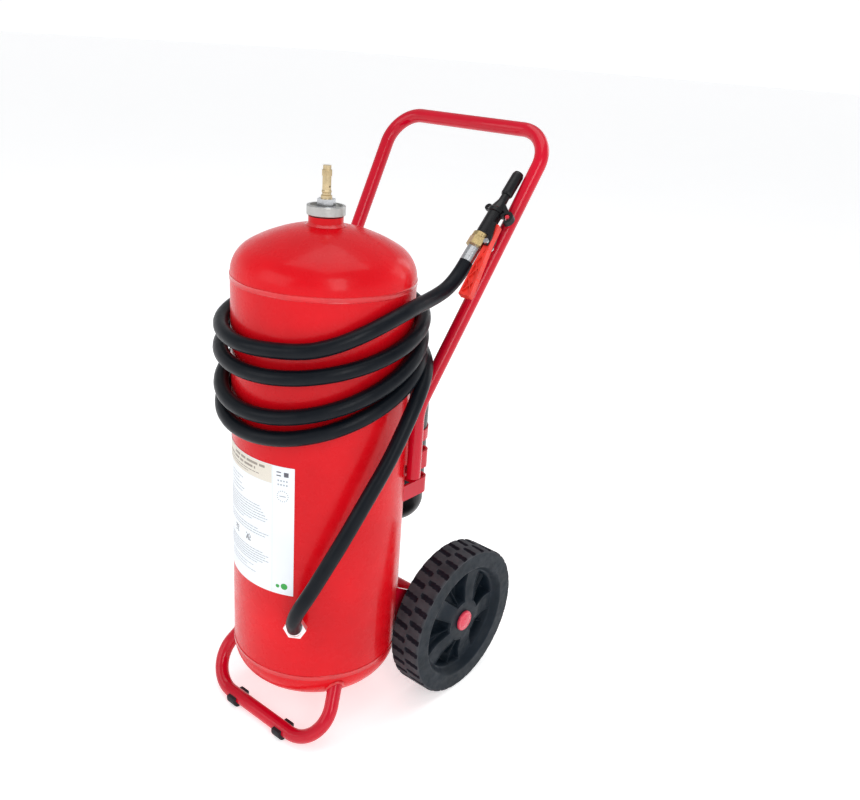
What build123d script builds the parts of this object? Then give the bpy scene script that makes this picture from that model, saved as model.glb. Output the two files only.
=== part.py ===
from build123d import *
import os
from math import atan2, cos, degrees, pi, radians, sin, sqrt, tan

# Wheeled foam fire extinguisher: a welded pressure vessel on a tube frame with two wheels,
# a CO2 bottle behind it, and a hose coiled round it that ends in a hand gun.
# Millimetres, +Z up, the foot and the outlet towards -Y, the wheels and the handle towards +Y.
# Everything is drawn round the vessel's axis and moved by vessel_y when it is saved, which puts
# the origin on the floor under the middle of the whole object.

os.makedirs("parts", exist_ok=True)
BASE = (Align.CENTER, Align.CENTER, Align.MIN)
TOP = (Align.CENTER, Align.CENTER, Align.MAX)

# --- driving dimensions -----------------------------------------------------------------
vessel_y = -106.0            # vessel axis, seen from the origin
vessel_radius = 150.0
vessel_wall = 3.0
bottom_seam = 132.0
top_seam = 812.0
head_skirt = 4.0             # straight part of each dished end
knuckle_radius = 54.0
crown_radius = 240.0

neck_radius = 28.0
neck_bore = 24.0
neck_top = 909.0
cap_radius = 31.0
cap_top = 926.0
gasket_thickness = 2.0

frame_tube = 12.5            # radius of the handle and foot tubes
frame_bore = 10.5
handle_low = (135.9, 94.1)   # lower, upright stretch of each side tube
handle_foot = 470.0
handle_bend = 597.0
handle_top = (178.6, 359.5, 1043.9)
handle_corner = 58.0

foot_y = -137.0
foot_z = 17.0
foot_half_width = 162.9
foot_corner = 60.0
foot_weld = (126.3, -74.2, 101.9)
pad_x = 62.0
pad_width = 19.0
pad_radius = 18.5            # more than foot_z, so that the pads end in a flat on the floor

axle_y = 202.0
wheel_radius = 145.0
wheel_width = 62.0
wheel_x = 171.5
axle_radius = 10.0
plate_x = 122.0              # inner face of each axle plate
plate_thickness = 5.0

bottle_radius = 51.5
bottle_y = 213.2
bottle_low = 290.0
bottle_shoulder = 590.0
bottle_wall = 4.0

hose_radius = 12.5
coil_radius = 163.0
outlet_angle = -56.0
outlet_z = 250.0
elbow_reach = 172.0          # from the vessel's axis to the middle of the outlet's elbow
elbow_radius = 13.5
elbow_rise = 52.0            # how steeply the hose leaves the elbow

gun_base = (150.0, 199.0, 862.0)
gun_axis = (0.0, 0.690, 0.724)
ferrule_length = 31.0


# --- helpers ----------------------------------------------------------------------------
def save(name, *solids):
    """Write one node, made of one or more solids, at its place."""
    placed = [Pos(0, vessel_y, 0) * solid for solid in solids]
    export_step(placed[0] if len(placed) == 1 else Compound(children=placed), f"parts/{name}.step")


def rod(radius, low, high):
    """A cylinder on the Z axis, between two heights."""
    return Pos(0, 0, low) * Cylinder(radius, high - low, align=BASE)


def ring(outer, inner, low, high):
    """A sleeve on the Z axis, between two heights."""
    return rod(outer, low, high) - rod(inner, low - 1, high + 1)


def turned(points):
    """A solid of revolution about Z from a closed outline of (radius, height) points."""
    return revolve(make_face(Plane.XZ * Polyline(*points, close=True)), Axis.Z)


def hexagon(across_flats, low, high):
    """A hexagonal bar on the Z axis, between two heights."""
    return Pos(0, 0, low) * extrude(RegularPolygon(across_flats / 2, 6, major_radius=False), high - low)


def bar_between(start, end, radius):
    """A straight round bar between two points."""
    along = Vector(*end) - Vector(*start)
    return Plane(origin=start, z_dir=along) * Cylinder(radius, along.length, align=BASE)


def swept(path, section):
    """A section drawn round the origin, swept along a path."""
    start = Plane(origin=path @ 0, z_dir=path % 0)
    return sweep(start * section, path=path)


def outer_edges(solid):
    """The round edges of the largest radius."""
    return solid.edges().filter_by(GeomType.CIRCLE).group_by(SortBy.RADIUS)[-1]


def mirrored(solid):
    """The same solid on the other side of the vessel."""
    return mirror(solid, about=Plane.YZ)


def cord_path(name, points):
    """A hose's route: straight runs joined by arcs as large as each pair of runs allows."""
    spots = [Vector(*point) for point in points]
    radii = []
    for before, here, after in zip(spots, spots[1:], spots[2:]):
        first, second = here - before, after - here
        half_turn = radians(first.get_angle(second)) / 2
        radii.append(0.45 * min(first.length, second.length) / tan(half_turn))
    path = FilletPolyline(*points, radius=radii)
    print(name, "length", round(path.length), "radii", [round(radius) for radius in radii])
    return path


# --- pressure vessel --------------------------------------------------------------------
def head_solid(inset):
    """A dished end, filled: skirt, knuckle arc and crown arc, with its knuckle at z = 0."""
    outer = vessel_radius - inset
    knuckle = knuckle_radius - inset
    crown = crown_radius - inset
    reach = outer - knuckle
    drop = sqrt((crown - knuckle) ** 2 - reach ** 2)
    meet = atan2(drop, reach)

    def on_knuckle(angle):
        return reach + knuckle * cos(angle), knuckle * sin(angle)

    def on_crown(angle):
        return crown * cos(angle), crown * sin(angle) - drop

    outline = Line((0, -head_skirt), (outer, -head_skirt))
    outline += Line((outer, -head_skirt), (outer, 0))
    outline += ThreePointArc(on_knuckle(0), on_knuckle(meet / 2), on_knuckle(meet))
    outline += ThreePointArc(on_crown(meet), on_crown((meet + pi / 2) / 2), on_crown(pi / 2))
    outline += Line(on_crown(pi / 2), (0, -head_skirt))
    return revolve(make_face(Plane.XZ * outline), Axis.Z)


head_shell = head_solid(0) - head_solid(vessel_wall)
top_place = Pos(0, 0, top_seam + head_skirt)
bottom_place = Pos(0, 0, bottom_seam - head_skirt) * Rot(180, 0, 0)
outlet_place = Plane(
    origin=(0, 0, outlet_z),
    x_dir=(-sin(radians(outlet_angle)), cos(radians(outlet_angle)), 0),
    z_dir=(cos(radians(outlet_angle)), sin(radians(outlet_angle)), 0),
)
gas_port = Plane(origin=(-40, 0, 797), x_dir=(1, 0, 0), z_dir=(0, 1, 0))
gas_wall = sqrt(vessel_radius ** 2 - 40 ** 2)
boss_radius = 16.0
vessel_fill = rod(vessel_radius, bottom_seam, top_seam) + bottom_place * head_solid(0)

shell = ring(vessel_radius, vessel_radius - vessel_wall, bottom_seam, top_seam)
shell -= outlet_place * rod(boss_radius, 100, 200)
shell -= gas_port * rod(9, 100, 200)
save("vessel_shell", shell)
save("vessel_top_head", top_place * head_shell - rod(neck_radius, 850, 950))
save("vessel_bottom_head", bottom_place * head_shell)
for name, seam in (("weld_top", top_seam), ("weld_bottom", bottom_seam)):
    bead = ring(vessel_radius + 1.2, vessel_radius, seam - 4, seam + 4)
    save(name, fillet(outer_edges(bead), 1.0))

# Neck: welded collar, gasket, screwed cap with two key pockets, relief valve on top.
save("neck_collar", ring(neck_radius, neck_bore, 880, neck_top))
save("neck_weld", turned([(neck_radius, 899), (neck_radius, 895.2), (32.5, 894.7)]))
save("neck_gasket", ring(neck_radius - 0.5, neck_bore + 0.3, neck_top, neck_top + gasket_thickness))
cap_floor = cap_top - 4
cap = rod(cap_radius, neck_top + gasket_thickness, cap_top)
cap = fillet(cap.edges().filter_by(GeomType.CIRCLE), 1.2)
cap += rod(neck_bore - 0.3, 893, neck_top + gasket_thickness)
cap -= rod(cap_radius - 5, cap_floor, cap_top + 1)
cap -= rod(8.0, 880, cap_top)
for pocket_x in (-20.5, 20.5):
    cap -= Pos(pocket_x, 0, 0) * rod(3.0, cap_floor - 5, cap_top)
save("neck_cap", cap)

adapter = rod(15, cap_floor, cap_floor + 2) + hexagon(26, cap_floor + 2, 936) + rod(7.9, 900, cap_floor)
save("relief_adapter", adapter - rod(3.5, 890, 940))

valve = turned([(0, 936), (9, 936), (9, 941), (7.2, 942), (7.2, 945), (8, 946), (8, 948), (7, 949), (7, 971), (0, 971)])
valve -= rod(5.0, 940, 972) + rod(2.5, 930, 941)
valve -= bar_between((-12, 0, 955), (12, 0, 955), 1.5)
save("relief_valve_body", valve)
top_cap = turned([(0, 971), (8, 971), (8, 980), (6.5, 981), (6.5, 987), (0, 987)]) - rod(1.8, 960, 984)
for slot in range(16):
    top_cap -= Rot(0, 0, slot * 22.5) * Pos(8.2, 0, 0) * rod(0.8, 970, 982)
save("relief_valve_cap", top_cap)
save("relief_poppet", rod(4.6, 940.1, 943) + rod(1.4, 943, 962))
spring_path = Helix(pitch=2.7, height=26.4, radius=3.6)
spring_start = Plane(origin=spring_path @ 0, z_dir=spring_path % 0)
save("relief_spring", Pos(0, 0, 943.8) * sweep(spring_start * Circle(0.5), path=spring_path))

# Foam outlet near the bottom, with the pick-up tube inside.
pickup_path = FilletPolyline((vessel_radius - 8, 0, 0), (70, 0, 0), (70, 0, 78 - outlet_z), radius=30)
pickup = swept(pickup_path, Circle(9) - Circle(7))
save("pickup_tube", Pos(0, 0, outlet_z) * Rot(0, 0, outlet_angle) * pickup)
save("outlet_boss", outlet_place * ring(boss_radius, 9.5, vessel_radius - 8, 164))
hose_seat = sqrt(elbow_radius ** 2 - hose_radius ** 2)
rise = Vector(0, sin(radians(elbow_rise)), cos(radians(elbow_rise)))
elbow_middle = Vector(0, 0, elbow_reach)
hose_socket = Plane(origin=elbow_middle + rise * hose_seat, z_dir=rise)
elbow = Pos(0, 0, elbow_reach) * Sphere(elbow_radius) - rod(20, 150, 164)
nut = hexagon(34, 164, elbow_reach + 2) - hose_socket * rod(hose_radius + 0.1, 0, 40)
nut += elbow - hose_socket * rod(2 * elbow_radius, 0, 40)
nut -= rod(9.5, 160, elbow_reach) + Pos(0, 0, elbow_reach) * Sphere(9.5) + hose_socket * rod(9.5, -hose_seat, 1)
save("outlet_nut", outlet_place * nut)

# Label wrapped on the shell's front.
label_low, label_high = 298.0, 535.0
label_start, label_arc = -134.0, 74.6
label_face = Pos(vessel_radius + 0.3, (label_low + label_high) / 2) * Rectangle(0.4, label_high - label_low)
save("label", Rot(0, 0, label_start) * revolve(Plane.XZ * label_face, Axis.Z, label_arc))

# --- handle frame -----------------------------------------------------------------------
side_x, side_y = handle_low
top_x, top_y, top_z = handle_top
handle_points = [(side_x, side_y, handle_foot), (side_x, side_y, handle_bend), (top_x, top_y, top_z)]
handle_points += [(-x, y, z) for x, y, z in reversed(handle_points)]
handle_path = FilletPolyline(*handle_points, radius=[80, handle_corner, handle_corner, 80])
save("handle_frame", swept(handle_path, Circle(frame_tube) - Circle(frame_bore)))
plug = Pos(side_x, side_y, 0) * rod(frame_bore - 0.1, handle_foot, handle_foot + 8)
plug += Pos(side_x, side_y, 0) * rod(frame_tube, handle_foot - 2.5, handle_foot)
save("tube_plugs", plug, mirrored(plug))

side_angle = degrees(atan2(side_y, side_x))
tube_gap = sqrt(side_x ** 2 + side_y ** 2) - frame_tube - vessel_radius
side_weld = Rot(0, 0, side_angle) * Pos(vessel_radius + tube_gap / 2, 0, 535) * Box(tube_gap + 3, 7, 90)
tube_cut = Pos(side_x, side_y, 0) * rod(frame_tube, 400, 650)
side_weld = side_weld - tube_cut - rod(vessel_radius, 400, 650)
save("handle_welds", side_weld, mirrored(side_weld))

# Two flat bars bent into a U behind the vessel: the bottle is strapped to them.
bar_outer_x = 121.0
bar_back_y = 159.4
bar_thickness = 4.0


def back_bar(low, high):
    """A flat bar from one side of the vessel, round behind it, to the other side."""
    depth = bar_back_y - 60
    solid = Pos(0, 60 + depth / 2, low) * Box(2 * bar_outer_x, depth, high - low, align=BASE)
    solid = fillet(solid.edges().filter_by(Axis.Z).group_by(Axis.Y)[-1], 16)
    inner = Pos(0, 50 + depth / 2, low - 1) * Box(
        2 * (bar_outer_x - bar_thickness), depth + 20 - 2 * bar_thickness, high - low + 2, align=BASE)
    inner = fillet(inner.edges().filter_by(Axis.Z).group_by(Axis.Y)[-1], 12)
    bar = solid - inner - rod(vessel_radius, low - 1, high + 1) - Pos(0, 0, low - 1) * Box(300, 150, 60, align=BASE)
    for side in (-1, 1):
        hole_x = side * strap_bolt_x
        bar -= bar_between((hole_x, 140, (low + high) / 2), (hole_x, 170, (low + high) / 2), 4.2)
    return bar


strap_bolt_x = 63.0
strap_inner = bottle_radius + 0.1
strap_thickness = 2.0
bar_heights = {"lower": (414.0, 444.0), "upper": (464.0, 497.0)}
bottle_axis = Pos(0, bottle_y, 0)
for level, (low, high) in bar_heights.items():
    middle = (low + high) / 2
    save(f"back_bar_{level}", back_bar(low, high))
    strap = bottle_axis * ring(strap_inner + strap_thickness, strap_inner, middle - 11, middle + 11)
    strap -= Pos(0, bottle_y, middle) * Box(200, 200, 40, align=(Align.CENTER, Align.MAX, Align.CENTER))
    for side in (-1, 1):
        leg_depth = bottle_y - bar_back_y - 0.1
        leg_x = side * (strap_inner + strap_thickness / 2)
        strap += Pos(leg_x, bottle_y - leg_depth / 2, middle) * Box(strap_thickness, leg_depth, 22)
        strap += Pos(side * (strap_inner + 10), bar_back_y + 1.6, middle) * Box(20, 3, 22)
        strap -= bar_between((side * strap_bolt_x, 150, middle), (side * strap_bolt_x, 170, middle), 4.2)
    save(f"bottle_strap_{level}", strap)
bolts = []
for low, high in bar_heights.values():
    for side in (-1, 1):
        seat = Plane(origin=(side * strap_bolt_x, bar_back_y + 3.1, (low + high) / 2), z_dir=(0, 1, 0))
        bolts.append(seat * (rod(4, -10, 0) + hexagon(13, 0, 5.3)))
save("strap_bolts", *bolts)

# --- foot -------------------------------------------------------------------------------
weld_x, weld_y, weld_z = foot_weld
inward = (Vector(*foot_weld) - Vector(foot_half_width, foot_y, foot_z)).normalized() * 26
foot_end = (weld_x + inward.X, weld_y + inward.Y, weld_z + inward.Z)
foot_points = [foot_end, (foot_half_width, foot_y, foot_z)]
foot_points += [(-x, y, z) for x, y, z in reversed(foot_points)]
foot_path = FilletPolyline(*foot_points, radius=foot_corner)
save("foot_frame", swept(foot_path, Circle(frame_tube) - Circle(frame_bore)) - vessel_fill)
for name, side in (("foot_pad_left", -1), ("foot_pad_right", 1)):
    pad = Plane(origin=(side * pad_x - pad_width / 2, foot_y, foot_z), z_dir=(1, 0, 0)) * (
        ring(pad_radius, frame_tube, 0, pad_width))
    pad -= Pos(side * pad_x, foot_y, 0) * Box(2 * pad_width, 50, 10, align=TOP)
    pad -= Pos(side * pad_x, foot_y, foot_z + 5) * Box(2 * pad_width, 50, 40, align=BASE)
    save(name, pad)

# --- axle and wheels --------------------------------------------------------------------
axle_z = wheel_radius
axle_place = Plane(origin=(0, axle_y, axle_z), x_dir=(0, 1, 0), z_dir=(1, 0, 0))
axle_end = wheel_x + wheel_width / 2 - 4
plate_back = plate_x + plate_thickness
plate_outline = [(40, 238), (86, 238), (axle_y + 16, axle_z + 12), (axle_y + 16, axle_z - 14), (axle_y - 4, axle_z - 22), (40, 136)]
plate = extrude(Plane.YZ * make_face(Polyline(*plate_outline, close=True)), plate_thickness)
plate = Pos(plate_x, 0, 0) * plate - rod(vessel_radius, 100, 300)
plate -= rod(vessel_radius + 1.3, bottom_seam - 5, bottom_seam + 5)
plate -= axle_place * rod(axle_radius + 0.2, 100, 140)
plate = plate.solids().sort_by(SortBy.VOLUME)[-1]
save("axle_plate_right", plate)
save("axle_plate_left", mirrored(plate))
save("axle_sleeve", axle_place * ring(15, 12, -plate_x, plate_x))
save("axle", axle_place * rod(axle_radius, -axle_end, axle_end))

rim_radius = 114.0
hub_recess = 6.0             # the wheel's hub, below its outer face
face_in = wheel_x - wheel_width / 2
face_out = wheel_x + wheel_width / 2
hub_face = face_out - hub_recess


def window(angle):
    """A wedge-shaped pocket between two spokes, on the outer side of the wheel."""
    wedge = rod(92, face_out - 32, face_out) - rod(48, face_out - 40, face_out + 1)
    half = Pos(0, 0, face_out - 40) * Box(200, 200, 60, align=(Align.CENTER, Align.MIN, Align.MIN))
    wedge = wedge & (Rot(0, 0, 64) * Pos(0, 9, 0) * half) & (Rot(0, 0, 116 + 180) * Pos(0, 9, 0) * half)
    return Rot(0, 0, angle) * wedge


def spoke_windows():
    """Five pockets, evenly spaced."""
    return [window(72 * number + 16) for number in range(5)]


tyre = ring(wheel_radius, rim_radius, face_in, face_out)
tyre = fillet(outer_edges(tyre), 3)
disc = ring(rim_radius, 14, face_in + 3, face_out - 3)
disc -= ring(100, 40, face_out - 17, face_out)
disc -= ring(100, 40, face_in, face_in + 12)
disc -= ring(40, 13, hub_face, face_out)
for pocket in spoke_windows():
    disc -= pocket
bush = ring(14, axle_radius + 0.06, face_in + 0.4, hub_face)
spacer = ring(17, axle_radius + 0.2, plate_back + 0.1, face_in - 0.2)
hub_cap = turned([(0, hub_face + 8), (12, hub_face + 7), (18, hub_face + 4.5), (20, hub_face + 0.4),
                  (axle_radius + 0.1, hub_face + 0.4), (axle_radius + 0.1, hub_face + 2.5), (0, hub_face + 2.5)])
for side in ("right", "left"):
    for name, piece in (("wheel_tyre", tyre), ("wheel_disc", disc), ("wheel_bush", bush),
                        ("wheel_spacer", spacer), ("hub_cap", hub_cap)):
        placed = axle_place * piece
        save(f"{name}_{side}", placed if side == "right" else mirrored(placed))


# --- CO2 bottle -------------------------------------------------------------------------
def bottle_fill(inset):
    """The bottle, filled: a cylinder with two round ends."""
    radius = bottle_radius - inset
    low = bottle_low + bottle_radius
    return rod(radius, low, bottle_shoulder) + Pos(0, 0, low) * Sphere(radius) + Pos(0, 0, bottle_shoulder) * Sphere(radius)


bottle_top = bottle_shoulder + bottle_radius + 6
bottle = bottle_fill(0) + rod(16, bottle_shoulder + 40, bottle_top)
bottle = bottle - bottle_fill(bottle_wall) - rod(10, bottle_shoulder + 30, bottle_top + 1)
save("co2_bottle", bottle_axis * bottle)
valve_top = bottle_top + 42
pipe_x = -40.0
pipe_z = bottle_top + 24
spindle_radius = 5.0
head = rod(15, bottle_top, valve_top) + rod(9.8, bottle_top - 20, bottle_top)
head += bar_between((0, 0, pipe_z), (-24, 0, pipe_z), 9) + bar_between((0, 0, pipe_z), (22, 0, pipe_z), 8)
head -= rod(spindle_radius + 0.05, bottle_top + 20, valve_top + 1)
head -= bar_between((0, 0, pipe_z), (-25, 0, pipe_z), 3) + rod(3, bottle_top - 25, bottle_top + 24)
save("bottle_valve", bottle_axis * head)
plug_place = Plane(origin=(22, bottle_y, pipe_z), z_dir=(1, 0, 0))
save("burst_disc_plug", plug_place * hexagon(15, 0, 6))
save("valve_spindle", bottle_axis * rod(spindle_radius, bottle_top + 26, valve_top + 16))
knob = ring(28, spindle_radius, valve_top + 4, valve_top + 16)
for notch in range(6):
    knob -= Rot(0, 0, 60 * notch) * Pos(31, 0, 0) * rod(7, valve_top, valve_top + 20)
save("valve_handwheel", bottle_axis * knob)
pipe_points = [(-24, bottle_y, pipe_z), (pipe_x, bottle_y, pipe_z), (pipe_x, bottle_y, 797), (pipe_x, gas_wall + 22, 797)]
pipe_path = FilletPolyline(*pipe_points, radius=[14, 18])
save("gas_pipe", swept(pipe_path, Circle(4.5) - Circle(3)))
save("gas_inlet", gas_port * (ring(9, 3, gas_wall - 6, gas_wall + 8) + hexagon(17, gas_wall + 8, gas_wall + 22) - rod(3, 100, 200)))

# --- gun --------------------------------------------------------------------------------
# The gun is drawn upright round its own axis: z = 0 at its hose nut, +x towards the lever.
gun_place = Plane(origin=gun_base, x_dir=(1, 0, 0), z_dir=gun_axis)
pivot_x, pivot_z = 21.5, 10.7
lever_half = 6.0
peg_x, peg_z = 27.5, 66.0


def flat_piece(points, half):
    """A plate in the gun's own x-z plane, from a list of corners."""
    face = make_face(Plane.XZ * Polyline(*points, close=True))
    return extrude(face, half, both=True)


hose_nut = Rot(0, 0, 30) * hexagon(30, 0, 16) + rod(16, 16, 24)
save("gun_nut", gun_place * (hose_nut - rod(8, -1, 25)))
barrel = turned([(0, 24), (12.8, 24), (12.8, 70), (15, 71), (15, 77), (13.5, 79), (8, 97), (7.5, 110), (0, 110)])
barrel -= rod(7, 20, 70) + rod(4, 60, 120)
ears = flat_piece([(10, 24.2), (10, 50), (18, 50), (26.5, 20), (26.5, 5), (17.3, 5), (17.3, 24.2)], 9.4)
ears -= flat_piece([(13.2, 0), (13.2, 60), (40, 60), (40, 0)], lever_half + 0.4)
ears -= bar_between((pivot_x, -20, pivot_z), (pivot_x, 20, pivot_z), 3.0)
barrel += ears - rod(12, 0, 60)
hook = Plane(origin=(peg_x, -5, peg_z), z_dir=(0, 1, 0)) * ring(12, 6.6, 0, 10)
hook -= Pos(peg_x - 13, 0, peg_z - 15) * Box(26, 20, 30)
hook += flat_piece([(6, 96), (6, 82), (20, 74.5), (25, 77.7)], 5) - rod(5, 60, 110)
barrel += hook
eyelet = Plane(origin=(-19, -2.5, 81), z_dir=(0, 1, 0)) * ring(6.5, 3, 0, 5)
barrel += eyelet + flat_piece([(-6, 86), (-6, 77), (-14, 78.5), (-14, 83.5)], 2.5) - rod(5, 60, 110)
save("gun_body", gun_place * barrel)
tip = turned([(0, 110), (9, 110), (10.2, 113), (10.2, 152), (8.5, 157), (0, 157)])
save("gun_tip", gun_place * (tip - rod(4, 100, 160)))
lever = flat_piece([(14.5, 46), (17, 49), (24, 48), (27.5, 11), (46, -88), (44, -91), (23, -91), (18.5, -30), (17.2, 6)], lever_half)
pocket = [(25.5, 0), (42, -86), (26, -86), (21.5, -30)]
for side in (-1, 1):
    lever -= Pos(0, side * lever_half, 0) * flat_piece(pocket, 4.2)
for low_z, left_x, right_x in ((-86, 24, 44), (-57, 22.5, 38.5), (-28, 20, 33)):
    high_z, shift = low_z + 29, 3.5
    for start, end in ((left_x, right_x - shift), (right_x, left_x - 1)):
        rib = [(start - 1, low_z), (start + 1, low_z), (end + 1, high_z), (end - 1, high_z)]
        lever += flat_piece(rib, lever_half - 1)
lever -= bar_between((pivot_x, -20, pivot_z), (pivot_x, 20, pivot_z), 3.05)
save("gun_lever", gun_place * lever)
pin = bar_between((pivot_x, -9.4, pivot_z), (pivot_x, 9.4, pivot_z), 3.0)
for side in (-1, 1):
    pin += bar_between((pivot_x, side * 9.4, pivot_z), (pivot_x, side * 12.4, pivot_z), 4.8)
save("gun_pivot_bolt", gun_place * pin)
save("hose_ferrule", gun_place * (ring(12.8, 8, -ferrule_length, -4) + hexagon(22, -4, 0) - rod(8, -5, 1)))

# Peg on the right side tube that the gun's hook hangs on.
peg_root = gun_place * Pos(17.9, 26.5, peg_z)
peg_tip = gun_place * Pos(peg_x + 3, -7, peg_z)
peg = bar_between(tuple(peg_root.position), tuple(peg_tip.position), 3.5)
save("gun_peg", peg - swept(handle_path, Circle(frame_tube)))

# --- hose -------------------------------------------------------------------------------
outlet_tip = outlet_place * Pos(*(elbow_middle + rise * hose_seat))
gun_mouth = gun_place * Pos(0, 0, -ferrule_length)
supply_route = [
    tuple(outlet_tip.position), (105, -155.7, 270.2), (115, -160, 292), (125, -157, 314), (134, -148, 336),
    (146, -127, 378), (158, -98, 428), (170, -64, 488), (178, -22, 548), (179, 16, 605), (172, 52, 645),
    (157, 82, 665), (138, 106, 677), (115, 125, 685), (92, 138, 690),
]
gun_route = [
    (42.3, -158.6, 729), (92.5, -138, 734), (126, -104, 745), (150, -66, 762), (161.5, -26, 777), (164.5, 10, 786),
    (161, 42, 790), (156, 71, 792), (152.5, 99, 795), (150.5, 125, 800.5), (149.5, 146, 810.5),
    (150, 163.5, 824.8), tuple(gun_mouth.position),
]
supply_path = cord_path("hose_supply_run", supply_route)
gun_path = cord_path("hose_gun_run", gun_route)
supply_run = swept(supply_path, Circle(hose_radius))
gun_run = swept(gun_path, Circle(hose_radius))
for name, run, path in (("supply", supply_run, supply_path), ("gun", gun_run, gun_path)):
    print(name, "volume over section times length", round(run.volume / (pi * hose_radius ** 2 * path.length), 4))
save("hose_supply_run", supply_run)
save("hose_gun_run", gun_run)

# The coil's outer shape: a band round the vessel, low at the front and higher behind.
coil_front = (583.0, 728.0)   # lowest and highest strand at the front
coil_back = (690.0, 768.0)    # the same behind
band = ring(coil_radius + hose_radius, coil_radius - hose_radius, 520, 820)
low_slope = degrees(atan2(coil_back[0] - coil_front[0], 2 * coil_radius))
high_slope = degrees(atan2(coil_back[1] - coil_front[1], 2 * coil_radius))
low_height = (coil_back[0] + coil_front[0]) / 2 - hose_radius
high_height = (coil_back[1] + coil_front[1]) / 2 + hose_radius
band -= Pos(0, 0, low_height) * Rot(low_slope, 0, 0) * Box(600, 600, 400, align=TOP)
band -= Pos(0, 0, high_height) * Rot(high_slope, 0, 0) * Box(600, 600, 400, align=BASE)
band -= swept(supply_path, Circle(hose_radius + 0.3))
band -= swept(gun_path, Circle(hose_radius + 0.3))
save("hose_coil", band.solids().sort_by(SortBy.VOLUME)[-1])
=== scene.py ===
"""The looks of a wheeled foam fire extinguisher, built round its CAD frame. Metres and degrees."""
import math
import random

import bpy
from mathutils import Matrix, Vector
from mathutils.bvhtree import BVHTree


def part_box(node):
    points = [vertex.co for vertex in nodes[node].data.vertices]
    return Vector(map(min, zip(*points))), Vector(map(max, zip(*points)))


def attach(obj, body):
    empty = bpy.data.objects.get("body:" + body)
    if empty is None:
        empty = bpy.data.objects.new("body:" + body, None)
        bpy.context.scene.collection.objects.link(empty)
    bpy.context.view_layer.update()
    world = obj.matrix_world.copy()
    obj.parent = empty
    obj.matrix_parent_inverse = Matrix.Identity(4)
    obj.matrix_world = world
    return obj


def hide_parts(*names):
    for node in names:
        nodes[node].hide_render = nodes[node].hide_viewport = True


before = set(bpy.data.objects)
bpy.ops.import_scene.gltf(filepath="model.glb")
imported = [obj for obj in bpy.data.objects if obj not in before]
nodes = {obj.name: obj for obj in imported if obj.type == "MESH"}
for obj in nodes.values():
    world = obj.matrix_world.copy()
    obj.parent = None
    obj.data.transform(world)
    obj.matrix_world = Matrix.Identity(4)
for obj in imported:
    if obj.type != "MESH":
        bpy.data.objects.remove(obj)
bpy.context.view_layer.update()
scene = bpy.context.scene
MM = 0.001

# --- the vessel's axis and sizes, from the frame ------------------------------------------
shell_low, shell_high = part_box("vessel_shell")
AXIS_Y = (shell_low.y + shell_high.y) / 2
SHELL_R = (shell_high.x - shell_low.x) / 2


def around(radius, degrees, height):
    """A point at a radius, an angle from +X and a height, round the vessel's axis."""
    a = math.radians(degrees)
    return Vector((radius * math.cos(a), AXIS_Y + radius * math.sin(a), height))


def smooth(value, low, high):
    """0 below low, 1 above high, and a smooth step between them."""
    t = min(1.0, max(0.0, (value - low) / (high - low)))
    return t * t * (3 - 2 * t)


def mesh_object(name, vertices, faces, materials, body, shade=True):
    """A mesh piece that rides on a body and takes its finish from the materials it is given."""
    mesh = bpy.data.meshes.new(name)
    mesh.from_pydata([tuple(v) for v in vertices], [], faces)
    for material in materials:
        mesh.materials.append(material)
    if shade:
        mesh.polygons.foreach_set("use_smooth", [True] * len(mesh.polygons))
    mesh.update()
    piece = bpy.data.objects.new(name, mesh)
    scene.collection.objects.link(piece)
    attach(piece, body)
    return piece


# --- camera -------------------------------------------------------------------------------
YAW, PITCH, ROLL = math.radians(38.186), math.radians(21.621), math.radians(-4.178)
CAMERA_PLACE = (1.0227, -1.1075, 1.1724)
LENS = 37.60
forward = Vector((-math.sin(YAW) * math.cos(PITCH), math.cos(YAW) * math.cos(PITCH), -math.sin(PITCH)))
level_right = Vector((math.cos(YAW), math.sin(YAW), 0))
level_down = forward.cross(level_right)
cam_right = level_right * math.cos(ROLL) + level_down * math.sin(ROLL)
cam_down = level_down * math.cos(ROLL) - level_right * math.sin(ROLL)
camera_data = bpy.data.cameras.new("camera")
camera = bpy.data.objects.new("camera", camera_data)
scene.collection.objects.link(camera)
camera_data.lens = LENS
camera_data.sensor_width = 36.0
turn = Matrix((cam_right, -cam_down, -forward)).transposed().to_4x4()
camera.matrix_world = Matrix.Translation(CAMERA_PLACE) @ turn
scene.camera = camera
scene.view_settings.view_transform = "Standard"

# --- hose ---------------------------------------------------------------------------------
HOSE_R = 0.0125
supply_route = [
    (0.105, -0.2617, 0.2702), (0.115, -0.266, 0.292), (0.125, -0.263, 0.314), (0.134, -0.254, 0.336),
    (0.146, -0.233, 0.378), (0.158, -0.204, 0.428), (0.170, -0.170, 0.488), (0.178, -0.128, 0.548),
    (0.179, -0.090, 0.605), (0.172, -0.054, 0.645), (0.157, -0.024, 0.665), (0.138, 0.000, 0.677),
    (0.115, 0.019, 0.685),
]
gun_route = [
    (0.0923, -0.2440, 0.734), (0.1265, -0.2105, 0.745), (0.1510, -0.1720, 0.762), (0.1625, -0.1320, 0.777),
    (0.1650, -0.096, 0.786), (0.161, -0.064, 0.790), (0.156, -0.035, 0.792), (0.1525, -0.007, 0.795),
    (0.1505, 0.019, 0.8005), (0.1495, 0.040, 0.8105), (0.150, 0.0575, 0.8248),
]
OUTLET_ANGLE, OUTLET_REACH, OUTLET_Z = -56, 0.172, 0.250
ELBOW_R, ELBOW_RISE = 0.0135, math.radians(52)
GUN_TAIL = 0.031                 # from the gun's base back to the mouth that takes the hose
outlet_way = around(1, OUTLET_ANGLE, 0) - around(0, 0, 0)
elbow_way = outlet_way * math.cos(ELBOW_RISE) + Vector((0, 0, math.sin(ELBOW_RISE)))
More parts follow.
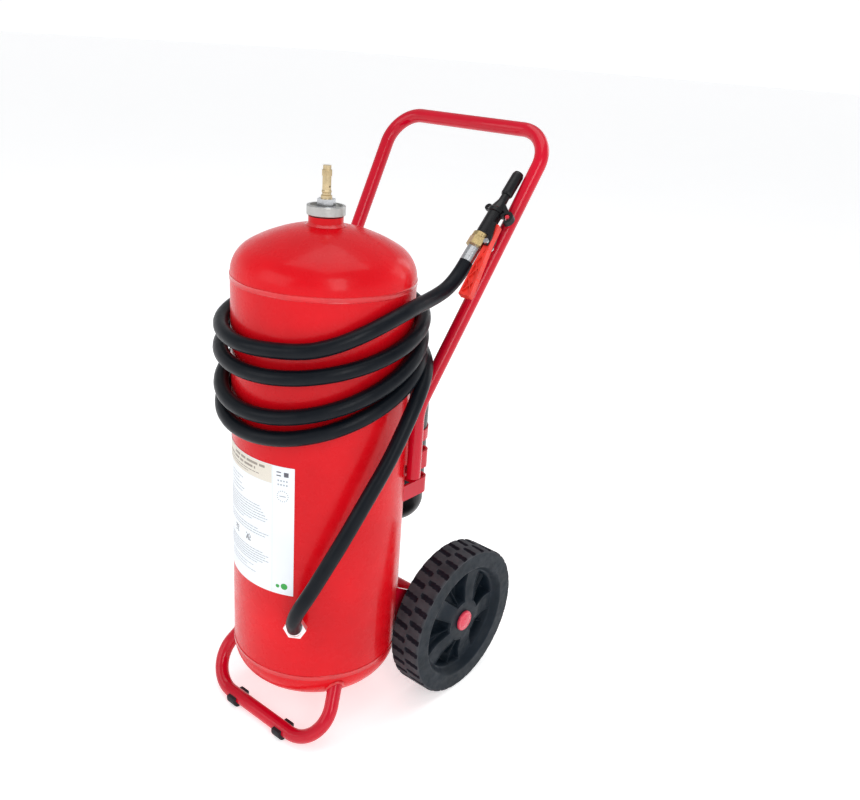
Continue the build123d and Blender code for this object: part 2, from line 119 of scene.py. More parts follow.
hose_start = around(OUTLET_REACH, OUTLET_ANGLE, OUTLET_Z) + elbow_way * math.sqrt(ELBOW_R ** 2 - HOSE_R ** 2)
gun_axis = Vector((0, 0.690, 0.724)).normalized()
gun_base = Vector((0.150, 0.093, 0.862))
hose_end = gun_base - GUN_TAIL * gun_axis

# The coil's heights where it passes the front and the back in turn, from the entry behind.
coil_passes = [(34, 0.690), (214, 0.583), (394, 0.716), (574, 0.620),
               (754, 0.742), (934, 0.687), (1114, 0.768), (1294, 0.728)]
COIL_START, COIL_TURN, COIL_STEP = 56, 1309, 22
COIL_R = 0.1632 / math.cos(math.radians(COIL_STEP / 2))


def coil_height(turned):
    """The coil's height after so many degrees, easing from each pass to the next."""
    for (before, low), (after, high) in zip(coil_passes, coil_passes[1:]):
        if turned <= after:
            share = max(0.0, (turned - before) / (after - before))
            return low + (high - low) * (1 - math.cos(math.pi * share)) / 2
    return coil_passes[-1][1]


coil_route = []
coil_sweep = COIL_TURN - 14      # the coil stops short of both straight runs
count = round(coil_sweep / COIL_STEP)
for number in range(count + 1):
    turned = 2 + number * coil_sweep / count
    # loose turns: each stands off the shell a little differently
    slack = 0.0016 * (1 + math.sin(math.radians(turned * 0.83 + 40)))
    coil_route.append(around(COIL_R + slack, COIL_START + turned, coil_height(turned)))

hose_points = [hose_start] + [Vector(p) for p in supply_route] + coil_route
hose_points += [Vector(p) for p in gun_route] + [hose_end]
curve = bpy.data.curves.new("hose", "CURVE")
curve.dimensions = "3D"
spline = curve.splines.new("NURBS")
spline.points.add(len(hose_points) - 1)
for spot, place in zip(spline.points, hose_points):
    spot.co = (*place, 1.0)
    spot.radius = HOSE_R
spline.order_u = 3
spline.use_endpoint_u = True
spline.resolution_u = 10
curve.bevel_depth = 1.0          # times each point's radius
curve.bevel_resolution = 7
curve.use_fill_caps = True
hose = bpy.data.objects.new("hose", curve)
scene.collection.objects.link(hose)
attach(hose, "chassis")
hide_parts("hose_supply_run", "hose_coil", "hose_gun_run")


# --- material helpers ---------------------------------------------------------------------
class Shade:
    """A material under construction: a Principled shader and the nodes that feed it."""

    def __init__(self, name, roughness=0.5, metallic=0.0, coat=0.0, coat_roughness=0.05, ior=1.5):
        self.material = bpy.data.materials.new(name)
        self.material.use_nodes = True
        self.tree = self.material.node_tree
        self.tree.nodes.clear()
        out = self.tree.nodes.new("ShaderNodeOutputMaterial")
        self.shader = self.tree.nodes.new("ShaderNodeBsdfPrincipled")
        self.tree.links.new(self.shader.outputs[0], out.inputs["Surface"])
        self.shader.inputs["Roughness"].default_value = roughness
        self.shader.inputs["Metallic"].default_value = metallic
        self.shader.inputs["Coat Weight"].default_value = coat
        self.shader.inputs["Coat Roughness"].default_value = coat_roughness
        self.shader.inputs["IOR"].default_value = ior
        self.spot = self.tree.nodes.new("ShaderNodeTexCoord").outputs["Object"]
        self.normal = None

    def link(self, output, socket):
        """Feeds one of the shader's sockets."""
        self.tree.links.new(output, self.shader.inputs[socket])

    def stretched(self, x, y, z):
        """The place, stretched along each axis, for grain that runs one way."""
        node = self.tree.nodes.new("ShaderNodeMapping")
        node.inputs["Scale"].default_value = (x, y, z)
        self.tree.links.new(self.spot, node.inputs["Vector"])
        return node.outputs[0]

    def noise(self, scale, detail=2.0, rough=0.5, place=None, distortion=0.0):
        """Fractal noise from 0 to 1, at the place given or at the object's own."""
        node = self.tree.nodes.new("ShaderNodeTexNoise")
        node.inputs["Scale"].default_value = scale
        node.inputs["Detail"].default_value = detail
        node.inputs["Roughness"].default_value = rough
        node.inputs["Distortion"].default_value = distortion
        self.tree.links.new(place or self.spot, node.inputs["Vector"])
        return node.outputs[0]

    def ramp(self, value, *stops):
        """A colour for each value: stops are (position, colour or grey)."""
        node = self.tree.nodes.new("ShaderNodeValToRGB")
        marks = node.color_ramp.elements
        while len(marks) < len(stops):
            marks.new(0.5)
        for mark, (position, colour) in zip(marks, stops):
            mark.position = position
            mark.color = (*colour, 1) if isinstance(colour, tuple) else (colour, colour, colour, 1)
        self.tree.links.new(value, node.inputs[0])
        return node.outputs[0]

    def mix(self, factor, first, second):
        """second over first, by factor. Each is a node's output or a colour."""
        node = self.tree.nodes.new("ShaderNodeMix")
        node.data_type = "RGBA"
        self.tree.links.new(factor, node.inputs[0])
        for socket, value in ((6, first), (7, second)):
            if isinstance(value, tuple):
                node.inputs[socket].default_value = (*value, 1)
            else:
                self.tree.links.new(value, node.inputs[socket])
        return node.outputs[2]

    def bump(self, height, strength, distance):
        """Adds relief; several calls add up."""
        node = self.tree.nodes.new("ShaderNodeBump")
        node.inputs["Strength"].default_value = strength
        node.inputs["Distance"].default_value = distance
        self.tree.links.new(height, node.inputs["Height"])
        if self.normal is not None:
            self.tree.links.new(self.normal, node.inputs["Normal"])
        self.normal = node.outputs[0]
        self.tree.links.new(self.normal, self.shader.inputs["Normal"])


def lighter(colour, factor):
    """A colour made lighter, or darker with a factor under 1."""
    return tuple(min(1.0, c * factor) for c in colour)


def paint(name, colour, roughness=0.22, peel=230, waves=0.0, coat=0.1):
    """Sprayed gloss enamel: orange peel, cloudy tone, fine dust and small scuffs."""
    s = Shade(name, roughness, coat=coat, coat_roughness=0.06, ior=1.25)
    cloud = s.ramp(s.noise(7, 4), (0.3, lighter(colour, 0.86)), (0.7, lighter(colour, 1.08)))
    dusty = s.ramp(s.noise(60, 8, 0.7, distortion=0.4), (0.66, 0.0), (0.80, 0.22))
    pale = (min(1.0, colour[0] * 1.05 + 0.03), colour[1] + 0.04, colour[2] + 0.04)
    s.link(s.mix(dusty, cloud, pale), "Base Color")
    s.link(s.ramp(s.noise(35, 6, 0.65), (0.3, roughness * 0.75), (0.75, roughness * 1.5)), "Roughness")
    s.bump(s.noise(peel, 2), 0.12, 0.0004)
    if waves:
        s.bump(s.noise(11, 1), waves, 0.012)
    return s.material


def rubber(name, colour, roughness=0.5, grain=900, relief=0.25, bloom=0.02):
    """Moulded rubber: fine grain, with a dry grey bloom here and there."""
    s = Shade(name, roughness, ior=1.24)
    bloomed = tuple(c + bloom for c in colour)
    s.link(s.ramp(s.noise(28, 6, 0.6), (0.35, colour), (0.75, bloomed)), "Base Color")
    s.link(s.ramp(s.noise(90, 4), (0.3, roughness * 0.85), (0.7, min(1.0, roughness * 1.2))), "Roughness")
    s.bump(s.noise(grain, 3), relief, 0.0002)
    return s.material


def metal(name, colour, roughness=0.3, brushed=None, stain=0.82, fine=700):
    """Machined or plated metal: fine tool marks along one direction, tone and roughness patches."""
    s = Shade(name, roughness, metallic=1.0)
    s.link(s.ramp(s.noise(80, 5, 0.6), (0.3, lighter(colour, stain)), (0.7, colour)), "Base Color")
    place = s.stretched(*brushed) if brushed else None
    grain = s.noise(fine, 4, 0.6, place=place)
    s.link(s.ramp(grain, (0.25, roughness * 0.7), (0.75, roughness * 1.4)), "Roughness")
    s.bump(grain, 0.15, 0.0002)
    return s.material


def plastic(name, colour, roughness=0.35, grain=700, relief=0.15, coat=0.0):
    """Moulded plastic: a slight spark-eroded grain and rubbed patches."""
    s = Shade(name, roughness, coat=coat, ior=1.36)
    s.link(s.ramp(s.noise(40, 5), (0.3, lighter(colour, 0.85)), (0.72, lighter(colour, 1.15))), "Base Color")
    s.link(s.ramp(s.noise(120, 5, 0.6), (0.3, roughness * 0.8), (0.7, roughness * 1.3)), "Roughness")
    s.bump(s.noise(grain, 3), relief, 0.00015)
    return s.material


VESSEL_RED = (0.68, 0.003, 0.009)
FRAME_RED = (0.58, 0.002, 0.020)
vessel_paint = paint("vessel_paint", VESSEL_RED, 0.26, waves=0.06)
frame_paint = paint("frame_paint", FRAME_RED, 0.18, peel=300, coat=0.35)

weld = Shade("weld_paint", 0.25, coat=0.4)
weld.link(weld.ramp(weld.noise(30, 4), (0.3, lighter(VESSEL_RED, 0.85)), (0.7, lighter(VESSEL_RED, 1.06))),
          "Base Color")
weld.bump(weld.noise(220, 3, 0.6), 0.5, 0.0012)
weld_paint = weld.material

hose_rubber = rubber("hose_rubber", (0.0028, 0.0048, 0.0082), 0.34, grain=650, relief=0.2, bloom=0.004)
pad_rubber = rubber("pad_rubber", (0.018, 0.020, 0.024), 0.55)
seal_rubber = rubber("seal_rubber", (0.012, 0.012, 0.013), 0.5)
cap_aluminium = metal("cap_aluminium", (0.56, 0.56, 0.54), 0.34, brushed=(1, 1, 14), fine=160)
zinc_steel = metal("zinc_steel", (0.60, 0.61, 0.63), 0.26, fine=900)
outlet_zinc = metal("outlet_zinc", (0.86, 0.86, 0.87), 0.34, stain=0.9, fine=900)
brass = metal("brass", (0.72, 0.57, 0.34), 0.27, brushed=(1, 1, 6), stain=0.74, fine=260)
nut_brass = metal("nut_brass", (0.66, 0.50, 0.24), 0.28, stain=0.7, fine=500)
steel_band = paint("band_paint", FRAME_RED, 0.26, peel=320)
bottle_paint = paint("bottle_paint", (0.006, 0.006, 0.007), 0.28, peel=300)
gun_plastic = plastic("gun_plastic", (0.006, 0.0065, 0.008), 0.28, relief=0.2)
lever_plastic = plastic("lever_plastic", (0.78, 0.035, 0.022), 0.34, coat=0.15)
cap_plastic = plastic("cap_plastic", (0.72, 0.045, 0.085), 0.28, coat=0.3)
knob_plastic = plastic("knob_plastic", (0.02, 0.02, 0.021), 0.35)
white_plastic = plastic("white_plastic", (0.72, 0.72, 0.70), 0.4)
paper = Shade("label_paper", 0.42, coat=0.25, coat_roughness=0.25)
paper.link(paper.ramp(paper.noise(9, 3), (0.3, (0.80, 0.85, 0.90)), (0.7, (0.86, 0.90, 0.93))), "Base Color")
paper.bump(paper.noise(420, 4), 0.06, 0.0002)
label_paper = paper.material

wheel_side = Shade("wheel_side", 0.40, ior=1.25)
wheel_side.link(wheel_side.ramp(wheel_side.noise(24, 6, 0.62), (0.32, (0.004, 0.009, 0.014)),
                                (0.62, (0.008, 0.014, 0.022)), (0.86, (0.026, 0.034, 0.044))), "Base Color")
wheel_side.link(wheel_side.ramp(wheel_side.noise(70, 6, 0.6), (0.3, 0.33), (0.75, 0.62)), "Roughness")
wheel_side.bump(wheel_side.noise(600, 4), 0.25, 0.0002)
wheel_plastic = wheel_side.material
tread = Shade("tyre_tread", 0.78, ior=1.25)
tread.link(tread.mix(tread.ramp(tread.noise(150, 8, 0.7), (0.62, 0.0), (0.74, 0.5)),
                     tread.ramp(tread.noise(40, 6), (0.3, (0.036, 0.038, 0.044)), (0.7, (0.064, 0.066, 0.074))),
                     (0.15, 0.15, 0.155)), "Base Color")
tread.bump(tread.noise(500, 5, 0.7), 0.5, 0.0005)
tyre_tread = tread.material
# the slots' faces take a much darker rubber than the tread: painted shade in the slots
groove = Shade("tyre_groove_painted_shade", 0.7, ior=1.25)
groove.link(groove.ramp(groove.noise(60, 4), (0.3, (0.006, 0.006, 0.011)), (0.7, (0.013, 0.013, 0.021))),
            "Base Color")
groove.bump(groove.noise(500, 4), 0.3, 0.0003)
tyre_groove_painted_shade = groove.material

hose.data.materials.append(hose_rubber)

# --- materials of the CAD parts -----------------------------------------------------------
finishes = {
    vessel_paint: ["vessel_shell", "vessel_top_head", "vessel_bottom_head", "neck_collar", "outlet_boss",
                   "gas_inlet"],
    weld_paint: ["weld_top", "weld_bottom", "neck_weld", "handle_welds"],
    frame_paint: ["handle_frame", "tube_plugs", "foot_frame", "axle_plate_left", "axle_plate_right", "axle_sleeve",
                  "gun_peg", "back_bar_lower", "back_bar_upper"],
    steel_band: ["bottle_strap_lower", "bottle_strap_upper"],
    cap_aluminium: ["neck_cap"],
    zinc_steel: ["relief_adapter", "strap_bolts", "axle", "wheel_spacer_left", "wheel_spacer_right",
                 "gun_pivot_bolt", "hose_ferrule", "valve_spindle", "gas_pipe", "relief_spring"],
    outlet_zinc: ["outlet_nut"],
    brass: ["relief_valve_body", "relief_valve_cap", "relief_poppet", "bottle_valve", "burst_disc_plug"],
    nut_brass: ["gun_nut"],
    seal_rubber: ["neck_gasket"],
    pad_rubber: ["foot_pad_left", "foot_pad_right"],
    hose_rubber: ["hose_supply_run", "hose_coil", "hose_gun_run"],
    label_paper: ["label"],
    white_plastic: ["pickup_tube", "wheel_bush_left", "wheel_bush_right"],
    tyre_tread: ["wheel_tyre_left", "wheel_tyre_right"],
    wheel_plastic: ["wheel_disc_left", "wheel_disc_right"],
    cap_plastic: ["hub_cap_left", "hub_cap_right"],
    bottle_paint: ["co2_bottle"],
    knob_plastic: ["valve_handwheel"],
    gun_plastic: ["gun_body", "gun_tip"],
    lever_plastic: ["gun_lever"],
}
for material, names in finishes.items():
    for name in names:
        slots = nodes[name].data.materials
        slots.clear()
        slots.append(material)
assert {n for names in finishes.values() for n in names} == set(nodes)


# --- wheels -------------------------------------------------------------------------------
TREAD_SLOTS = 34
ROUND = TREAD_SLOTS * 16
WHEEL_R = 0.145
SLOT_CUT, SLOT_LEAN = 0.0036, 0.16
SLOT_FLOOR, SLOT_EDGE = 0.0030, 0.0048      # half widths of a slot at its floor and at the surface
SLOT_ROWS = ((1, 0.0, 0.0065), (-1, 0.5, -0.0045))      # side, shift round the tyre in slots, x of the rounded end
POCKETS = 5
POCKET_ANGLE = 106.0            # the same as the pockets of the CAD wheel
CORNER = 0.003
DISH, DISH_FOOT, DISH_RIM = 0.0145, 0.098, 0.113        # the side's dish, and the radii between which it rises
HUB_RISE, HUB_TOP, HUB_FOOT = 0.0085, 0.036, 0.080      # how far the hub stands out of the dish
POCKET_IN, POCKET_OUT = 0.042, 0.0985                   # radii of a pocket's ends
POCKET_CUT, SHELF_CUT = 0.024, 0.0120                   # depth of a pocket and of the shelf along one side of it
RIDGE, LIP = 0.0085, 0.0010                             # height of the rib beside the shelf and of the pocket's lip
BORE = 0.0141
TREAD_STEPS, FACE_STEPS = 34, 84


def slot_depth(x, angle, half):
    """How deep the tread is cut at a distance x from the wheel's middle, at an angle."""
    deepest = 0.0
    pitch = 2 * math.pi / TREAD_SLOTS
    for row, shift, inner_end in SLOT_ROWS:
        along = (x - inner_end) * row          # from the rounded end towards the shoulder
        lean = SLOT_LEAN * x / WHEEL_R
        turned = (angle - lean) / pitch - shift
        across = abs(turned - round(turned)) * pitch * WHEEL_R
        reach = half * 0.98 - abs(inner_end)
        nearest = max(0.0, -along, along - reach)
        gap = math.hypot(across, nearest)
        deepest = max(deepest, SLOT_CUT * (1 - smooth(gap, SLOT_FLOOR, SLOT_EDGE)))
    return deepest


def pocket_depth(r, angle):
    """How deep the wheel's outer side is at a radius and an angle, below its face."""
    base = DISH * (1 - smooth(r, DISH_FOOT, DISH_RIM))
    base -= HUB_RISE * (1 - smooth(r, HUB_TOP, HUB_FOOT))
    step = 2 * math.pi / POCKETS
    turned = (angle - math.radians(POCKET_ANGLE)) / step
    off = (turned - round(turned)) * step
    across = r * math.sin(off)
    half = 0.0150 + (r - 0.050) * 0.52
    edge = min(r - POCKET_IN, POCKET_OUT - r, half - abs(across))
    cut = POCKET_CUT * smooth(edge, 0.0, 0.0026)
    shelf_start = half * 0.25
    if across > shelf_start:
        cut = min(cut, SHELF_CUT * smooth(edge, 0.0, 0.0020))
    ridge = 1 - smooth(abs(across - shelf_start - 0.0016), 0.0006, 0.0018)
    rim = 1 - smooth(abs(edge + 0.0012), 0.0004, 0.0016)
    cut -= RIDGE * ridge * smooth(edge, 0.0, 0.003) + LIP * rim
    return base + cut


def wheel(side, sign):
    """One wheel as a single moulding: the inner side, the tread with its slots and the outer face."""
    low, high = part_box("wheel_tyre_" + side)
    centre = (low + high) / 2
    radius = (high.z - low.z) / 2
    half = (high.x - low.x) / 2
    rings = []                                 # (x from the middle towards the outside, radius, kind)
    inner_side = [(half - 0.0004, BORE), (half - 0.0004, 0.030), (half - 0.004, 0.034),
                  (half - 0.0115, 0.041), (half - 0.0145, 0.048), (half - 0.0145, 0.092),
                  (half - 0.011, 0.099), (half - 0.002, 0.106), (half - 0.0004, 0.113),
                  (half, 0.122), (half, 0.132)]
    for x, r in inner_side:
        rings.append((-x, r, "side"))
    for number in range(7):
        a = math.radians(90 - number * 15)
        rings.append((-(half - CORNER + CORNER * math.sin(a)), radius - CORNER + CORNER * math.cos(a), "tread"))
    for number in range(1, TREAD_STEPS):
        rings.append((-(half - CORNER) + 2 * (half - CORNER) * number / TREAD_STEPS, radius, "tread"))
    for number in range(7):
        a = math.radians(number * 15)
        rings.append((half - CORNER + CORNER * math.sin(a), radius - CORNER + CORNER * math.cos(a), "tread"))
    outer_r = radius - CORNER - 0.0012
    for number in range(FACE_STEPS + 1):
        rings.append((half, outer_r + (BORE - outer_r) * number / FACE_STEPS, "face"))
    rings.append((half - 0.0065, BORE, "side"))
    vertices, deep = [], []
    for x, r, kind in rings:
        for number in range(ROUND):
            angle = 2 * math.pi * number / ROUND
            here_x, here_r = x, r
            cut = 0.0
            if kind == "tread":
                cut = slot_depth(x, angle, half) * smooth(half - abs(x), -0.001, 0.004)
                here_r -= cut
            elif kind == "face":
                here_x -= pocket_depth(r, angle)
            vertices.append(Vector((centre.x + sign * here_x, centre.y + here_r * math.cos(angle),
                                    centre.z + here_r * math.sin(angle))))
            deep.append(cut)
    faces, marks = [], []
    last = len(rings) - 1
    for ring in range(len(rings)):
        after = (ring + 1) % len(rings)
        for number in range(ROUND):
            nearby = (number + 1) % ROUND
            a, b = ring * ROUND + number, ring * ROUND + nearby
            c, d = after * ROUND + nearby, after * ROUND + number
            faces.append((a, b, c, d) if sign < 0 else (d, c, b, a))
            kind = rings[ring][2]
            if kind == "tread":
                # faces cut deep into a slot get the darker groove material, a painted shade
                marks.append(2 if max(deep[i] for i in (a, b, c, d)) > 0.0008 else 1)
            else:
                marks.append(0)
    piece = mesh_object(f"wheel_{side}_moulding", vertices, faces, [wheel_plastic, tyre_tread, tyre_groove_painted_shade],
                        side + "_wheel")
    piece.data.polygons.foreach_set("material_index", marks)
    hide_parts("wheel_tyre_" + side, "wheel_disc_" + side)


wheel("right", 1)
wheel("left", -1)


LATHE_SEGMENTS = 72


def lathe(name, outline, place, material, body):
    """A solid of revolution: outline is (radius, height) from the axis round to the axis."""
    vertices, faces = [], []
    for r, h in outline:
        for number in range(LATHE_SEGMENTS):
            a = 2 * math.pi * number / LATHE_SEGMENTS
            vertices.append(place @ Vector((r * math.cos(a), r * math.sin(a), h)))
    for ring in range(len(outline) - 1):
        for number in range(LATHE_SEGMENTS):
            nearby = (number + 1) % LATHE_SEGMENTS
            faces.append((ring * LATHE_SEGMENTS + number, ring * LATHE_SEGMENTS + nearby,
                          (ring + 1) * LATHE_SEGMENTS + nearby, (ring + 1) * LATHE_SEGMENTS + number))
    faces.append(tuple(range(LATHE_SEGMENTS))[::-1])
    faces.append(tuple((len(outline) - 1) * LATHE_SEGMENTS + n for n in range(LATHE_SEGMENTS)))
    return mesh_object(name, vertices, faces, [material], body)


for side, sign in (("right", 1), ("left", -1)):
    low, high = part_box("hub_cap_" + side)
    centre = (low + high) / 2
    inner = low.x if sign > 0 else high.x
    height = high.x - low.x
    r = (high.z - low.z) / 2
    outline = [(0.0102, 0.0), (r - 0.0004, 0.0), (r, 0.0006), (r, 0.0030), (r - 0.0004, 0.0042), (r - 0.0016, 0.0052),
               (r - 0.0032, 0.0056), (r - 0.0042, 0.0053), (r - 0.0050, 0.0051), (r - 0.0065, 0.0057),
               (r - 0.0095, 0.0067), (r - 0.0130, height - 0.0004), (0.0030, height), (0.0005, height)]
    turn = Matrix(((0, 0, sign), (0, 1, 0), (-sign, 0, 0))).to_4x4()
    place = Matrix.Translation((inner, centre.y, centre.z)) @ turn
    dome = lathe(f"hub_cap_{side}_dome", outline, place, cap_plastic, "chassis")
    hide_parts("hub_cap_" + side)

# --- label print --------------------------------------------------------------------------
label_low, label_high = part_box("label")
LABEL_LEFT, LABEL_RIGHT = -134.0, -59.4
PRINT_R = SHELL_R + 0.00058      # just proud of the paper
PRINT_LIFT = 0.00004             # ink printed over another ink
inks = {}


def ink(name, colour):
    """A printing ink, with the lists that its marks are added to."""
    s = Shade(name, 0.45)
    s.link(s.ramp(s.noise(900, 3), (0.3, lighter(colour, 0.92)), (0.7, lighter(colour, 1.06))), "Base Color")
    inks[name] = (s.material, [], [])


ink("print_header", (0.74, 0.69, 0.60))
ink("print_panel", (0.66, 0.76, 0.74))
ink("print_grey", (0.30, 0.33, 0.38))
ink("print_dark", (0.10, 0.10, 0.12))
ink("print_brown", (0.30, 0.26, 0.22))
ink("print_green", (0.02, 0.36, 0.05))


def at_label(u, v, lift=0.0):
    """A point on the label: u and v in millimetres from its lower left corner."""
    degrees = LABEL_LEFT + math.degrees(u * MM / SHELL_R)
    return around(PRINT_R + lift, degrees, label_low.z + v * MM)


def block(name, u0, v0, u1, v1, lift=0.0):
    """A printed rectangle that follows the label's curve."""
    _, vertices, faces = inks[name]
    pieces = max(1, math.ceil((u1 - u0) / 4))
    for number in range(pieces + 1):
        u = u0 + (u1 - u0) * number / pieces
        vertices += [at_label(u, v0, lift), at_label(u, v1, lift)]
    first = len(vertices) - 2 * (pieces + 1)
    for number in range(pieces):
        a = first + 2 * number
        faces.append((a, a + 2, a + 3, a + 1))


def disc_print(name, u, v, radius, lift=0.0, sides=20):
    """A printed round dot."""
    _, vertices, faces = inks[name]
    first = len(vertices)
    for number in range(sides):
        a = 2 * math.pi * number / sides
        vertices.append(at_label(u + radius * math.cos(a), v + radius * math.sin(a), lift))
    faces.append(tuple(range(first, first + sides)))


def line_of_words(name, u0, u1, v, height, draw, fill=1.0):
    """A line of print with no letters: short bars of uneven length."""
    u = u0
    end = u0 + (u1 - u0) * fill
    while u < end - 2:
        width = min(draw.uniform(2.5, 9.0) * height / 1.1, end - u)
        block(name, u, v, u + width, v + height, PRINT_LIFT)
        u += width + height * 0.8


LABEL_W = math.radians(LABEL_RIGHT - LABEL_LEFT) * SHELL_R / MM
LABEL_H = (label_high.z - label_low.z) / MM
COLUMN_U = LABEL_W - 40
draw = random.Random(7)
block("print_header", 1.0, LABEL_H - 33, COLUMN_U, LABEL_H - 1.0)
block("print_panel", COLUMN_U + 0.8, 1.0, COLUMN_U + 1.6, LABEL_H - 1.0)
line_of_words("print_brown", 60, COLUMN_U - 12, LABEL_H - 10, 4.4, draw)
line_of_words("print_brown", 30, COLUMN_U - 34, LABEL_H - 18, 4.2, draw)
line_of_words("print_brown", 24, COLUMN_U - 26, LABEL_H - 24, 1.6, draw)
line_of_words("print_brown", 24, COLUMN_U - 52, LABEL_H - 28, 1.4, draw)
for v, fill in ((190, 0.42), (184, 0.3), (177, 0.38), (170, 0.46), (164, 0.4)):
    line_of_words("print_grey", 44, COLUMN_U - 8, v, 1.3, draw, fill)
# each paragraph: left edge, right margin, top line, line spacing, line height, how full each line is
paragraphs = [
    (30, 8, 154, 5.0, 1.2, (0.86, 0.9, 0.93, 0.96, 1, 0.98, 0.7, 0.5)),
    (34, 6, 110, 5.0, 1.2, (0.8, 1, 0.94)),
    (30, 6, 68, 4.6, 1.2, (0.9, 1, 0.96, 1, 0.9, 0.8)),
    (40, 14, 36, 5.5, 1.1, (0.75, 0.6, 0.8)),
]
for left, margin, top, spacing, height, fills in paragraphs:
    for number, fill in enumerate(fills):
        line_of_words("print_grey", left, COLUMN_U - margin, top - spacing * number, height, draw, fill)
# two small square symbols of plain bars, and the marks of the right-hand column
for left in (58.0, 96.0):
    for row in range(5):
        for column in range(5):
            if draw.random() < 0.52:
                u, v = left + 2.6 * column, 80 + 2.6 * row
                block("print_dark", u, v, u + 2.1, v + 2.1, PRINT_LIFT)
block("print_dark", COLUMN_U + 9, LABEL_H - 17, COLUMN_U + 17, LABEL_H - 15, PRINT_LIFT)
block("print_dark", COLUMN_U + 9, LABEL_H - 11, COLUMN_U + 17, LABEL_H - 9, PRINT_LIFT)
block("print_dark", COLUMN_U + 22, LABEL_H - 17, COLUMN_U + 30, LABEL_H - 9, PRINT_LIFT)
for row, v in enumerate((LABEL_H - 26, LABEL_H - 33)):
    for column in range(4):
        block("print_grey", COLUMN_U + 11 + 5 * column, v, COLUMN_U + 13.4 + 5 * column, v + 2.6, PRINT_LIFT)
for number in range(16):
    a = 2 * math.pi * number / 16
    disc_print("print_grey", COLUMN_U + 20 + 9.5 * math.cos(a), LABEL_H - 52 + 9.5 * math.sin(a), 0.9, PRINT_LIFT, 10)
block("print_grey", COLUMN_U + 14.5, LABEL_H - 53, COLUMN_U + 25.5, LABEL_H - 51.4, PRINT_LIFT)
disc_print("print_green", COLUMN_U + 24, 16, 6.0, PRINT_LIFT)
disc_print("print_green", COLUMN_U + 12, 15, 3.4, PRINT_LIFT)
for name, (material, vertices, faces) in inks.items():
    mesh_object("label_" + name, vertices, faces, [material], "chassis", shade=False)

# --- girth welds: a low bead with a sharper lip at each edge ------------------------------
BEAD_TURN = 720
bead_outline = [(-4.7, -0.3), (-4.3, 0.35), (-3.9, 1.05), (-3.3, 1.15), (-2.7, 0.75), (-1.3, 0.62), (0.0, 0.72),
                (1.3, 0.62), (2.7, 0.75), (3.3, 1.15), (3.9, 1.05), (4.3, 0.35), (4.7, -0.3)]
for seam, name in ((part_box("weld_top"), "weld_top"), (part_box("weld_bottom"), "weld_bottom")):
    middle = (seam[0].z + seam[1].z) / 2
    draw = random.Random(len(name))
    ripple = [draw.uniform(-0.10, 0.10) for _ in range(BEAD_TURN)]
    sway = [draw.uniform(0, 6.28) for _ in range(3)]
    vertices, faces = [], []
    for number in range(BEAD_TURN):
        angle = 360 * number / BEAD_TURN
        drift = sum(0.16 * math.sin(math.radians(angle) * k + s) for k, s in zip((3, 7, 12), sway))
        for height, proud in bead_outline:
            lift = proud + (ripple[number] if 0.5 < proud < 0.8 else 0.35 * ripple[number])
            vertices.append(around(SHELL_R + lift * MM, angle, middle + (height + drift) * MM))
    width = len(bead_outline)
    for number in range(BEAD_TURN):
        after = (number + 1) % BEAD_TURN
        for k in range(width - 1):
            faces.append((number * width + k, after * width + k, after * width + k + 1, number * width + k + 1))
        faces.append((number * width + width - 1, after * width + width - 1, after * width, number * width))
    bead = mesh_object(name + "_bead", vertices, faces, [weld_paint], "chassis")
    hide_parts(name)

# --- welds where the foot tubes meet the vessel -------------------------------------------
depsgraph = bpy.context.evaluated_depsgraph_get()
head_tree = BVHTree.FromObject(nodes["vessel_bottom_head"], depsgraph)
shell_tree = BVHTree.FromObject(nodes["vessel_shell"], depsgraph)
TUBE_R = 0.0125
FOOT_BEND = (0.1629, -0.137, 0.017)         # from the vessel's axis: the right tube's last bend
FOOT_JOIN = (0.1263, -0.0742, 0.1019)       # and where the tube meets the vessel
WELD_POINTS, WELD_R = 40, 0.0032


def hit_vessel(start, direction):
    """Where a line meets the bottom head or the shell first."""
    found = [tree.ray_cast(start, direction, 0.2) for tree in (head_tree, shell_tree)]
    found = [(hit[3], hit[0]) for hit in found if hit[0] is not None]
    return min(found, key=lambda pair: pair[0])[1] if found else None


def foot_weld(side, sign):
    """An uneven bead round the tube's end, on the vessel."""
    draw = random.Random(11 if sign > 0 else 12)
    bend, join = (Vector((x * sign, AXIS_Y + y, z)) for x, y, z in (FOOT_BEND, FOOT_JOIN))
    along = (join - bend).normalized()
    flat = along.cross(Vector((0, 0, 1))).normalized()
    other = along.cross(flat)
    points = []
    for number in range(WELD_POINTS):
        a = 2 * math.pi * number / WELD_POINTS
        offset = (flat * math.cos(a) + other * math.sin(a)) * (TUBE_R + 0.0002)
        hit = hit_vessel(bend + along * 0.03 + offset, along)
        if hit is not None:
            points.append(hit - along * 0.0004)
    path = bpy.data.curves.new("foot_weld_" + side, "CURVE")
    path.dimensions = "3D"
    line = path.splines.new("NURBS")
    line.points.add(len(points) - 1)
    for spot, place in zip(line.points, points):
        spot.co = (*place, 1.0)
        spot.radius = WELD_R * draw.uniform(0.8, 1.2)
    line.order_u = 3
    line.use_cyclic_u = True
    path.bevel_depth = 1.0
    path.bevel_resolution = 4
    piece = bpy.data.objects.new("foot_weld_" + side, path)
    scene.collection.objects.link(piece)
    path.materials.append(weld_paint)
    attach(piece, "chassis")


foot_weld("right", 1)
foot_weld("left", -1)

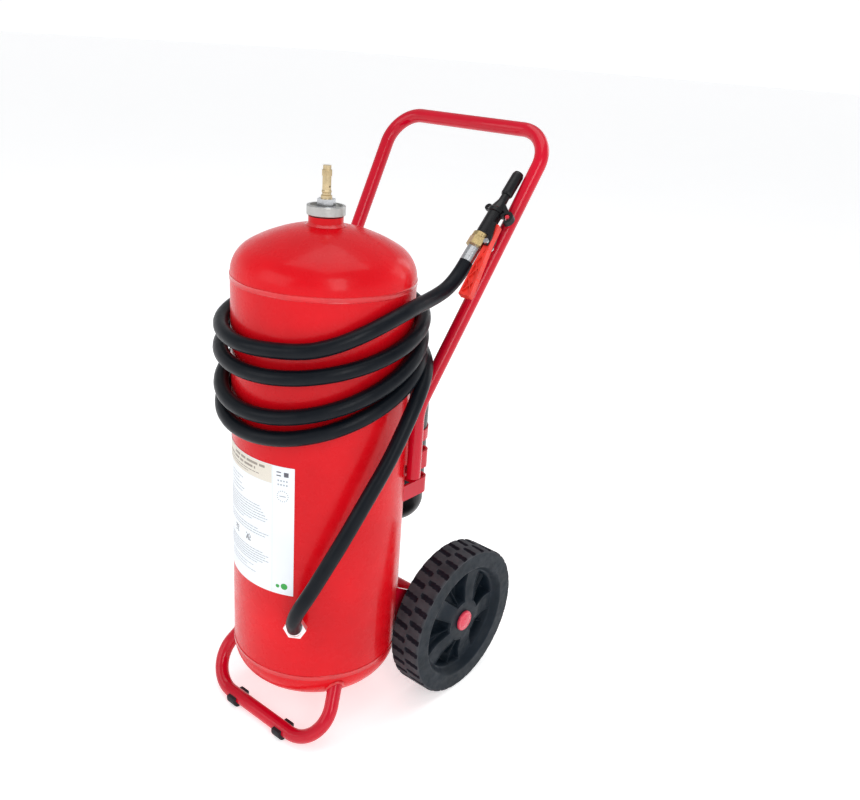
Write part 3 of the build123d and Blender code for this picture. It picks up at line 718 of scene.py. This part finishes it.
# --- floor, lights and surroundings -------------------------------------------------------
floor_mesh = bpy.data.meshes.new("floor")
floor_mesh.from_pydata([(-60, -60, 0), (60, -60, 0), (60, 60, 0), (-60, 60, 0)], [], [(0, 1, 2, 3)])
floor = bpy.data.objects.new("floor", floor_mesh)
scene.collection.objects.link(floor)
ground = Shade("floor_material", 0.6)
ground.link(ground.ramp(ground.noise(1.5, 2), (0.3, 0.90), (0.7, 0.92)), "Base Color")
ground.shader.inputs["Emission Color"].default_value = (1, 1, 1, 1)
ground.shader.inputs["Emission Strength"].default_value = 0.5
floor.data.materials.append(ground.material)

world = bpy.data.worlds.new("world")
scene.world = world
world.use_nodes = True
background = world.node_tree.nodes["Background"]
background.inputs["Color"].default_value = (0.97, 0.98, 1.0, 1)
# the surroundings are brightest at the horizon and dimmer overhead
sky = world.node_tree.nodes
direction = sky.new("ShaderNodeSeparateXYZ")
brightness = sky.new("ShaderNodeMapRange")
for socket, value in (("From Min", 0.08), ("From Max", 0.35), ("To Min", 1.05), ("To Max", 0.48)):
    brightness.inputs[socket].default_value = value
world.node_tree.links.new(sky.new("ShaderNodeTexCoord").outputs["Generated"], direction.inputs[0])
world.node_tree.links.new(direction.outputs["Z"], brightness.inputs["Value"])
world.node_tree.links.new(brightness.outputs["Result"], background.inputs["Strength"])


def area_light(name, place, aim, width, height, power):
    """A rectangular lamp at a place, turned to face a point."""
    data = bpy.data.lights.new(name, "AREA")
    data.shape = "RECTANGLE"
    data.size = width
    data.size_y = height
    data.energy = power
    lamp = bpy.data.objects.new(name, data)
    scene.collection.objects.link(lamp)
    lamp.location = place
    lamp.rotation_mode = "QUATERNION"
    lamp.rotation_quaternion = (Vector(aim) - Vector(place)).to_track_quat("-Z", "Y")


area_light("key_light", (2.9, -1.6, 2.5), (0, 0, 0.5), 1.2, 2.4, 36)
area_light("front_light", (-1.2, -3.6, 2.4), (0, 0, 0.5), 3.0, 2.0, 30)
area_light("top_light", (0.0, 0.2, 4.2), (0, 0, 0.4), 3.0, 3.0, 44)
area_light("back_light", (0.6, 3.4, 2.0), (0, 0, 0.5), 2.4, 1.6, 20)
